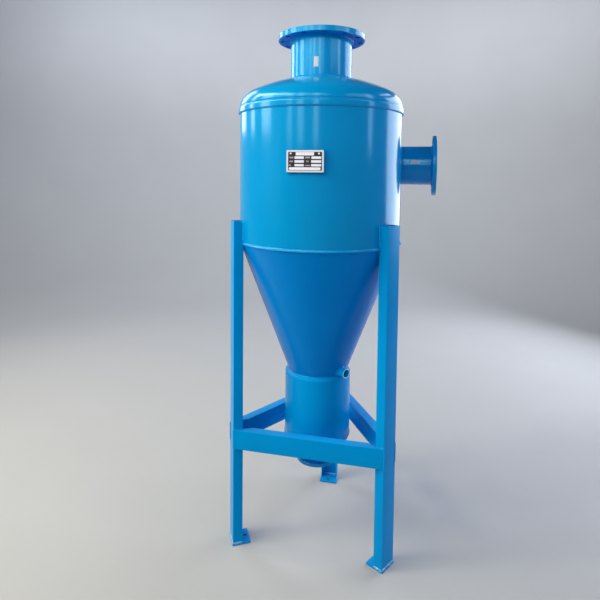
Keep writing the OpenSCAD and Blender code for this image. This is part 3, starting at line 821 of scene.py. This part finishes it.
def socketParts():
    # radius and height from the mouth, carried round: the thread is a row of rings, every other one cut deeper
    r, b, d, c = socket["radius"], socket["bore"], socket["depth"], socket["chamfer"]
    turns = np.arange(0, d - socket["threadStop"], socket["thread"] / 2)
    cut = np.where(np.arange(len(turns)) % 2, socket["threadDepth"], 0)
    thread = np.stack([b + cut, -socket["countersink"] - turns], 1)
    mouth = np.array([[r, -c], [r - c, 0], [b + socket["countersink"], 0], thread[0]])
    bore = np.vstack([thread, [[b, -d], [socket["drill"], -d], [socket["drill"], -socket["inner"]],
                               [r, -socket["inner"]], mouth[0]]])
    return [revolved(mouth, socket["steps"], 1), revolved(bore, socket["steps"])]


def socketBead():
    # round the sleeve, where it meets cone and shoulder: at each height the vessel is a circle, of the cone's
    # radius above its low edge and the shoulder's below, and out = root of (its radius squared - across squared)
    turn = np.arange(socket["weldSteps"]) * tau / socket["weldSteps"]
    height = socketFace[2] + socket["radius"] * np.sin(turn)
    onCone = coneLowR + (height - coneLowZ) * slope[0] / slope[1]
    drop = np.maximum(vessel["shoulder"] ** 2 - (height - potHigh[2]) ** 2, 0)
    onShoulder = potR - vessel["shoulder"] + np.sqrt(drop)
    hug = np.where(height > coneLowZ, onCone, onShoulder)
    out = np.sqrt(hug ** 2 - (socket["radius"] * np.cos(turn)) ** 2)
    spread = np.cos(turn)[:, None] * socketAxes[0] + np.sin(turn)[:, None] * np.array([0, 0, 1.0])
    path = out[:, None] * outward + spread * socket["radius"] + [0, 0, socketFace[2]]
    leaning = spread + socket["weldLean"] * np.sin(turn)[:, None] * outward
    return bead(path, np.tile(outward, (len(turn), 1)), leaning, socket["weld"], socket["weld"], True,
                socket["weldSeed"])


sleeve = placed(socketParts(), socketFace, socketAxes)
makePiece("flushSocket", sleeve, [potEnamelPaintedLight, mouthEnamelPaintedHighlight], ["flush_socket"])
makePiece("socketWeld", socketBead(), [weldEnamelPaintedLight])
print("socket made")


# legs and cross beams: rolled channel, web outward
legLow, legHigh = corners("leg_back")
channel = {
    "width": 100 * mm,
    "depth": 50 * mm,
    "web": 5.5 * mm,
    "tip": 6.5 * mm,           # flange thickness at its tip and at its root
    "root": 10 * mm,
    "fillet": 8 * mm,
    # rounding of the web's corner, the two corners of the flange's tip and the two ends of the inner fillet
    "rounding": np.array([1.5, 1, 3, 3.5, 3.5]) * mm,
    "roundingSteps": 4,
    "rows": 36,
}
legWeld = {
    "above": 9 * mm,           # it starts so far above the cone's seam
    "size": 6 * mm,
    "seed": 40,
}
footWeld = {
    # width and height of each bead
    "web": (2.5 * mm, 8 * mm),
    "inside": (5 * mm, 5 * mm),
    "side": (2 * mm, 7 * mm),
    "insideShare": 0.75,       # of the channel's width
    "seed": 50,
}


def channelSection():
    # closed outline, web face at x = 0 and flanges towards -x; the corners are as round as rolling leaves them
    h, w, f = channel["width"] / 2, channel["web"], channel["fillet"]
    d, root, tip = channel["depth"], channel["root"], channel["tip"]
    half = np.array([[0, -h], [-d, -h], [-d, -h + tip], [-w - f / 2, -h + root], [-w, -h + root + f / 2]])
    outline = np.vstack([half, half[::-1] * [1, -1]])
    rounding = np.concatenate([channel["rounding"], channel["rounding"][::-1]])
    return softened(outline, rounding, channel["roundingSteps"])


section = channelSection()
legR, legTop, footTop = legHigh[1], legHigh[2], legLow[2]


def turned(angle):
    # axes of a piece that stands at an angle round the vessel: local x outward, y sideways, z up
    c, s = math.cos(math.radians(angle)), math.sin(math.radians(angle))
    return [[c, s, 0], [-s, c, 0], [0, 0, 1]]


def legParts():
    # the channel's section, its web at the leg's distance, carried straight up from foot to top
    heights = np.linspace(footTop, legTop, channel["rows"])[:, None]
    return tube(np.stack([section[:, 0] + legR + 0 * heights, section[:, 1] + 0 * heights,
                          heights + 0 * section[:, 0]], -1))


def legWeldParts(seed):
    # both flange tips against the shell, which they meet at x = root of (R squared - half width squared)
    h = channel["width"] / 2
    meet = math.sqrt(shellR ** 2 - h ** 2)
    parts = []
    for side in (-1, 1):
        lean = side * h / shellR
        parts += straightBead([meet, side * h, coneTopZ + legWeld["above"]], [meet, side * h, legTop],
                              [1, 0, 0], [-abs(lean), side * math.sqrt(1 - lean ** 2), 0],
                              legWeld["size"], legWeld["size"], seed + side)
    return parts


def footWeldParts(seed):
    # straight beads on the foot plate: along the web outside and inside, and along both flanges
    h, d = channel["width"] / 2, channel["depth"]
    inside, reach = legR - channel["web"], footWeld["insideShare"] * h
    parts = straightBead([legR, -h, footTop], [legR, h, footTop], [1, 0, 0], [0, 0, 1], *footWeld["web"],
                         seed, "cap")
    parts += straightBead([inside, -reach, footTop], [inside, reach, footTop], [-1, 0, 0], [0, 0, 1],
                          *footWeld["inside"], seed + 1)
    for side in (-1, 1):
        parts += straightBead([legR - d, side * h, footTop], [legR, side * h, footTop], [0, side, 0], [0, 0, 1],
                              *footWeld["side"], seed + 3 + side, "cap")
    return parts


beamLow, beamHigh = corners("beam_front")
beam = {
    "face": -beamLow[1],
    "middle": (beamLow[2] + beamHigh[2]) / 2,
    "spread": 60,              # degrees between a beam and the legs at its ends
    "rows": 24,
    "weld": 6 * mm,            # size of the bead along the top and bottom edge of an end
    "weldFrom": 24 * mm,       # where it starts and ends, behind the web's face
    "weldTo": 1 * mm,
    "cornerWeld": (3.2 * mm, 1.2 * mm),    # width and height of the bead down the leg's corner
    "seed": 110,
}


def beamReach(x):
    # half length at a distance x from the axis, where the flange face of the next leg cuts it:
    # (x sin a - half the leg's width) / cos a
    a = math.radians(beam["spread"])
    return (x * math.sin(a) - channel["width"] / 2) / math.cos(a)


def beamParts():
    # the channel's section carried sideways, each of its points to its own reach at both ends
    x, z = section[:, 0] + beam["face"], section[:, 1] + beam["middle"]
    t = np.linspace(-1, 1, beam["rows"])[:, None]
    return tube(np.stack([x + 0 * t, beamReach(x) * t, z + 0 * t], -1))


def beamWeldParts(seed):
    # straight beads at each end: along the top and bottom edge and down the corner of the leg
    h, face = channel["width"] / 2, beam["face"]
    inner, outer = face - beam["weldFrom"], face - beam["weldTo"]
    parts = []
    for side in (-1, 1):
        for level in (-1, 1):
            z = beam["middle"] + level * h
            parts += straightBead([inner, side * beamReach(inner), z], [outer, side * beamReach(outer), z],
                                  [0, 0, level], [0, -side, 0], beam["weld"], beam["weld"],
                                  seed + side + 2 * level)
        end = side * beamReach(face)
        parts += straightBead([face, end, beam["middle"] - h], [face, end, beam["middle"] + h],
                              [0, side, 0], [1, 0, 0], *beam["cornerWeld"], seed + 9 + side, "cap")
    return parts


# degrees round the vessel, from the right towards the back
legs = {"FrontRight": (-30, "front_right"), "FrontLeft": (-150, "front_left"), "Back": (90, "back")}
for number, (name, (angle, node)) in enumerate(legs.items()):
    shift = weld["seedStep"] * number
    made = (legParts(), legWeldParts(legWeld["seed"] + shift), footWeldParts(footWeld["seed"] + shift))
    leg, joint, foot = (placed(parts, [0, 0, 0], turned(angle)) for parts in made)
    makePiece("leg" + name, leg, [frameEnamelPaintedLight], ["leg_" + node])
    makePiece("legWeld" + name, joint, [weldEnamelPaintedLight])
    makePiece("footWeld" + name, foot, [scuffedWeldPaintedHighlight])
beams = {"Front": (-90, "front"), "BackRight": (30, "back_right"), "BackLeft": (150, "back_left")}
for number, (name, (angle, node)) in enumerate(beams.items()):
    made = (beamParts(), beamWeldParts(beam["seed"] + weld["seedStep"] * number))
    beamPiece, joint = (placed(parts, [0, 0, 0], turned(angle)) for parts in made)
    makePiece("beam" + name, beamPiece, [frameEnamelPaintedLight], ["beam_" + node])
    makePiece("beamWeld" + name, joint, [weldEnamelPaintedLight])

# the foot plates are shown as they are, painted and with their cut edges broken
footEdge = {"width": 1 * mm, "segments": 2}
for node in ("foot_front_right", "foot_front_left", "foot_back"):
    foot = frame["nodes"][node]
    foot.data.materials.clear()
    foot.data.materials.append(frameEnamelPaintedLight)
    merge = foot.modifiers.new("mergePoints", "WELD")
    merge.merge_threshold = mergeDistance
    edge = foot.modifiers.new("cutEdge", "BEVEL")
    edge.width = footEdge["width"]
    edge.segments = footEdge["segments"]
    edge.limit_method = "ANGLE"
print("legs and beams made")


# nameplate: bracket, plate, ink ground and bare fields
plateLow, plateHigh = corners("nameplate")
plate = {
    "angle": -88,              # degrees round the vessel, the front is at -90
    "width": 172 * mm,
    "height": 100 * mm,
    "thick": 1.5 * mm,
    "corner": 5 * mm,
    "stand": 9 * mm,           # from the shell to the bracket's front plate
    "bracket": 3 * mm,
    "bracketRim": 2 * mm,
    "bracketSink": 2 * mm,     # how far its cheeks run into the shell
    "cutEdge": 0.3 * mm,
    "foldOutside": 4 * mm,
    "foldInside": 1.5 * mm,
    "foldSteps": 4,            # faces round a fold and round a corner
    "cornerSteps": 5,
    "printSink": 0.3 * mm,     # printed pieces start so far inside the plate
    # left, right, top and bottom, as shares of the plate
    "ground": (0.045, 0.955, 0.075, 0.925),
    "fields": [(0.25, 0.74, 0.088, 0.24), (0.218, 0.47, 0.28, 0.395), (0.672, 0.935, 0.28, 0.395),
               (0.218, 0.47, 0.455, 0.57), (0.665, 0.935, 0.455, 0.57), (0.218, 0.465, 0.63, 0.735),
               (0.665, 0.935, 0.63, 0.735)],
    "lowField": (0.066, 0.918, 0.775, 0.905),
    "bars": [(0.08, 0.19, 0.30, 0.375), (0.08, 0.18, 0.475, 0.55), (0.06, 0.12, 0.645, 0.72),
             (0.505, 0.635, 0.29, 0.37), (0.53, 0.60, 0.475, 0.54), (0.50, 0.64, 0.665, 0.72)],
    # corner radius and height over the plate
    "groundPrint": (4 * mm, 0.1 * mm),
    "fieldPrint": (1.5 * mm, 0.2 * mm),
    "lowFieldPrint": (6 * mm, 0.2 * mm),
    "barPrint": (0.8 * mm, 0.15 * mm),
    "rivets": [(0.113, 0.15), (0.873, 0.15)],
    "rivetRadius": 4.4 * mm,
    "rivetDome": 0.65 * mm,
    "rivetStem": 1 * mm,
    "rivetEnd": 88,            # degrees at which the dome ends in a small flat
    "rivetRows": 8,
    "rivetSteps": 32,
}
plateMiddleZ = (plateLow[2] + plateHigh[2]) / 2
plateFront = shellR + plate["stand"] + plate["bracket"] + plate["thick"]
plateAxes = turned(plate["angle"])


def slab(left, right, low, high, corner, back, front):
    # a flat piece with round corners: local x is outward, y along the plate, z up
    outline = softened([[left, low], [right, low], [right, high], [left, high]], corner, plate["cornerSteps"])
    return tube(np.stack([np.column_stack([np.full(len(outline), x), outline]) for x in (back, front)]))


def plateShare(left, right, top, bottom, corner, rise):
    # a slab over a share of the plate: y = (share - 0.5) * width, z = (0.5 - share) * height
    w, h = plate["width"], plate["height"]
    return slab((left - 0.5) * w, (right - 0.5) * w, (0.5 - bottom) * h, (0.5 - top) * h, corner,
                plateFront - plate["printSink"], plateFront + rise)


def bracketParts():
    # folded plate: front face and two cheeks that run back to the shell, the folds rounded
    w, h = plate["width"] / 2 + plate["bracketRim"], plate["height"] / 2 + plate["bracketRim"]
    front = plateFront - plate["thick"]
    back = math.sqrt(shellR ** 2 - w ** 2) - plate["bracketSink"]
    t, cut, outer, inner = (plate[k] for k in ("bracket", "cutEdge", "foldOutside", "foldInside"))
    outline = softened([[back, -w], [front, -w], [front, w], [back, w],
                        [back, w - t], [front - t, w - t], [front - t, t - w], [back, t - w]],
                       [cut, outer, outer, cut, cut, inner, inner, cut], plate["foldSteps"])
    return tube(np.stack([np.column_stack([outline, np.full(len(outline), z)]) for z in (-h, h)]))


def rivetParts(across, down):
    # a flat dome on a short stem: a quarter ellipse carried round
    r = plate["rivetRadius"]
    dome = arc(0, 0, r, plate["rivetDome"], 0, plate["rivetEnd"], plate["rivetRows"])
    line, steps = np.vstack([[[r, -plate["rivetStem"]]], dome]), plate["rivetSteps"]
    return placed([revolved(line, steps), lid(revolved(line[-1:], steps)[0])],
                  [plateFront, (across - 0.5) * plate["width"], (0.5 - down) * plate["height"]],
                  [[0, 1, 0], [0, 0, 1], [1, 0, 0]])


def allOf(pieces):
    # the parts of several pieces in one list
    return [part for piece in pieces for part in piece]


atPlate = ([0, 0, plateMiddleZ], plateAxes)
w, h = plate["width"], plate["height"]
stock = slab(-0.5 * w, 0.5 * w, -0.5 * h, 0.5 * h, plate["corner"], plateFront - plate["thick"], plateFront)
ground = plateShare(*plate["ground"], *plate["groundPrint"])
fields = allOf([plateShare(*share, *plate["fieldPrint"]) for share in plate["fields"]])
fields += plateShare(*plate["lowField"], *plate["lowFieldPrint"])
bars = allOf([plateShare(*share, *plate["barPrint"]) for share in plate["bars"]])
rivets = allOf([rivetParts(*spot) for spot in plate["rivets"]])
bracket = placed(bracketParts(), *atPlate)
makePiece("nameplateBracket", bracket, [glossEnamel], ["nameplate_bracket"])
makePiece("nameplateStock", placed(stock, *atPlate), [plateAluminium], ["nameplate"])
makePiece("nameplateInk", placed(ground, *atPlate), [plateInk])
makePiece("nameplateFields", placed(fields, *atPlate), [plateField])
makePiece("nameplateBars", placed(bars, *atPlate), [plateBar])
makePiece("nameplateRivets", placed(rivets, *atPlate), [plateField])


# two bare stickers
sticker = {
    "thick": 0.25 * mm,
    "sink": 0.2 * mm,                      # its back lies so far inside the pipe's wall
    "neckSize": (24 * mm, 50 * mm),        # round the pipe and along it
    "neckHeight": 2.521,                   # metres above the floor
    "neckAngle": -88.5,
    "inletSize": (20 * mm, 49 * mm),
    "inletAlong": 0.4975,                  # metres from the vessel's axis
    "inletWay": (0.988, 0.152),            # from the pipe's middle to the sticker, forward and up
    "points": (13, 3),                     # round the pipe and along it
}


def stickerParts(radius, across, along):
    # a patch of a cylinder: height along the axis, half angle from the width, closed all round
    columns, rows = sticker["points"]
    t = np.linspace(-across / 2, across / 2, columns) / radius
    t, z = np.meshgrid(t, np.linspace(-along / 2, along / 2, rows))
    skins = [np.stack([r * np.cos(t), r * np.sin(t), z], -1)
             for r in (radius - sticker["sink"], radius + sticker["thick"])]
    rim = [np.concatenate([skin[0], skin[1:, -1], skin[-1, -2::-1], skin[-2:0:-1, 0]]) for skin in skins]
    return [grid(skin) for skin in skins] + [grid(np.stack(rim), closeColumns=True)]


neckSticker = placed(stickerParts(outletR, *sticker["neckSize"]), [0, 0, sticker["neckHeight"]],
                     turned(sticker["neckAngle"]))
makePiece("neckSticker", neckSticker, [stickerVinyl])
forward, upward = sticker["inletWay"]
inletSticker = placed(stickerParts(inlet["pipe"], *sticker["inletSize"]),
                      [sticker["inletAlong"], inlet["y"], inlet["z"]],
                      [[0, -forward, upward], [0, upward, forward], [1, 0, 0]])
makePiece("inletSticker", inletSticker, [stickerVinyl])
print("nameplate and stickers made")


# floor and wall round the object, one pale surface
studio = {
    "hub": 0.2,                # metres: radius of the lid in the middle, of the flat floor and of the bend
    "floor": 5.0,
    "bend": 3.0,
    "wall": 6.0,
    "rowSpacing": 0.4,
    "bendSteps": 24,
    "steps": 120,
    "tone": "#AEB0B3",
    "cloudTone": "#A4A6A9",
    "sharp": 60,
}


def studioParts():
    # a flat line out to the floor's edge, a quarter circle and a straight line up, carried round, with a lid
    floor, bend = studio["floor"], studio["bend"]
    line = np.vstack([dense(np.array([[studio["hub"], 0], [floor, 0]]), studio["rowSpacing"]),
                      arc(floor, bend, bend, bend, -90, 0, studio["bendSteps"])[1:],
                      [[floor + bend, studio["wall"]]]])
    return [revolved(line, studio["steps"]), lid(revolved(line[:1], studio["steps"])[0])]


# matt emulsion on a plain floor: one pale grey, hardly clouded
studioPaint = plainFinish("paleMattEmulsion", studio["tone"], 0.8, patch=0.1, scale=1.2,
                          patchTone=studio["cloudTone"])
makeObject("studioFloor", studioParts(), [studioPaint], studio["sharp"])

# lamps: panels that the enamel mirrors as windows, and fill lamps that light it but aren't mirrored
lamps = {
    # degrees round from the front, distance, height, width and height of the panel, aim, brightness and tone
    "highWindows": (-60, 3.2, 4.3, 3.8, 0.6, (0, 0, 1.7), 12.5, "#FFF3D0"),
    "windowNear": (-15, 4.4, 3.7, 0.6, 2.8, (0, 0, 1.7), 4.5, "#FFF7E0"),
    "windowNext": (-29, 4.4, 3.7, 0.5, 2.8, (0, 0, 1.7), 4.0, "#FFF7E0"),
    "windowLeft": (-65, 4.4, 3.8, 1.3, 2.7, (0, 0, 1.7), 8.0, "#FFF7E0"),
    "windowFarLeft": (-92, 4.4, 3.8, 0.6, 2.7, (0, 0, 1.7), 8.0, "#FFF7E0"),
    "windowBehind": (-120, 4.4, 3.8, 1.4, 2.7, (0, 0, 1.7), 5.0, "#F2F6FF"),
    "gapAhead": (5, 4.5, 3.7, 0.5, 2.8, (0, 0, 1.7), 5.0, "#FFF7E0"),
    "gapRight": (78.5, 4.5, 3.6, 0.55, 2.8, (0, 0, 1.7), 4.5, "#F2F6FF"),
    "highRight": (120, 3.4, 4.4, 2.0, 0.4, (0, 0, 1.7), 3.6, "#F2F6FF"),
    "backDoor": (135, 4.5, 2.6, 4.2, 3.2, (0, 0, 1.7), 4.4, "#F2F6FF"),
    "neckPanel": (-15, 1.7, 3.05, 2.4, 0.4, (0, 0, 2.5), 2.4, "#F6FDE4"),
    "neckRight": (62, 1.7, 3.05, 1.2, 0.4, (0, 0, 2.5), 1.9, "#FFF8EC"),
    "wallWash": (-170, 4.5, 5.5, 8.0, 0.8, (-1.4, 8, 2.6), 12.0, "#F2F6FF"),
    "fillLeft": (-55, 4.5, 2.5, 2.4, 2.2, (0, 0, 0.9), 4.1, "#FCF6E6"),
    "fillRight": (45, 4.2, 4.0, 3.6, 2.0, (0, 0, 1.9), 0.9, "#B4CAFF"),
}


def hangLamp(name, angle, away, height, width, high, aim, bright, tone):
    # a panel at x = d sin a, y = -d cos a that faces its aim; its energy is brightness times pi times its area
    data = bpy.data.lights.new(name, "AREA")
    data.shape = "RECTANGLE"
    data.size = width
    data.size_y = high
    data.energy = bright * math.pi * width * high
    data.color = colour(tone)[:3]
    lamp = bpy.data.objects.new(name, data)
    turn = math.radians(angle)
    place = np.array([away * math.sin(turn), -away * math.cos(turn), height])
    ahead = np.array(aim) - place
    ahead = ahead / np.linalg.norm(ahead)
    right = np.cross(ahead, [0, 0, 1])
    right = right / np.linalg.norm(right)
    lamp.matrix_world = aimed(right, np.cross(right, ahead), ahead, place)
    lamp.visible_camera = False
    lamp.visible_glossy = not name.startswith("fill")
    bpy.context.scene.collection.objects.link(lamp)


for name, settings in lamps.items():
    hangLamp(name, *settings)

# light from all round: dim and blue
hall = {"tone": "#9CB8FF", "strength": 0.11}
world = bpy.data.worlds.new("hallLight")
bpy.context.scene.world = world
world.use_nodes = True
world.node_tree.nodes["Background"].inputs["Color"].default_value = colour(hall["tone"])
world.node_tree.nodes["Background"].inputs["Strength"].default_value = hall["strength"]
bpy.context.scene.view_settings.view_transform = "Standard"
print("studio set")
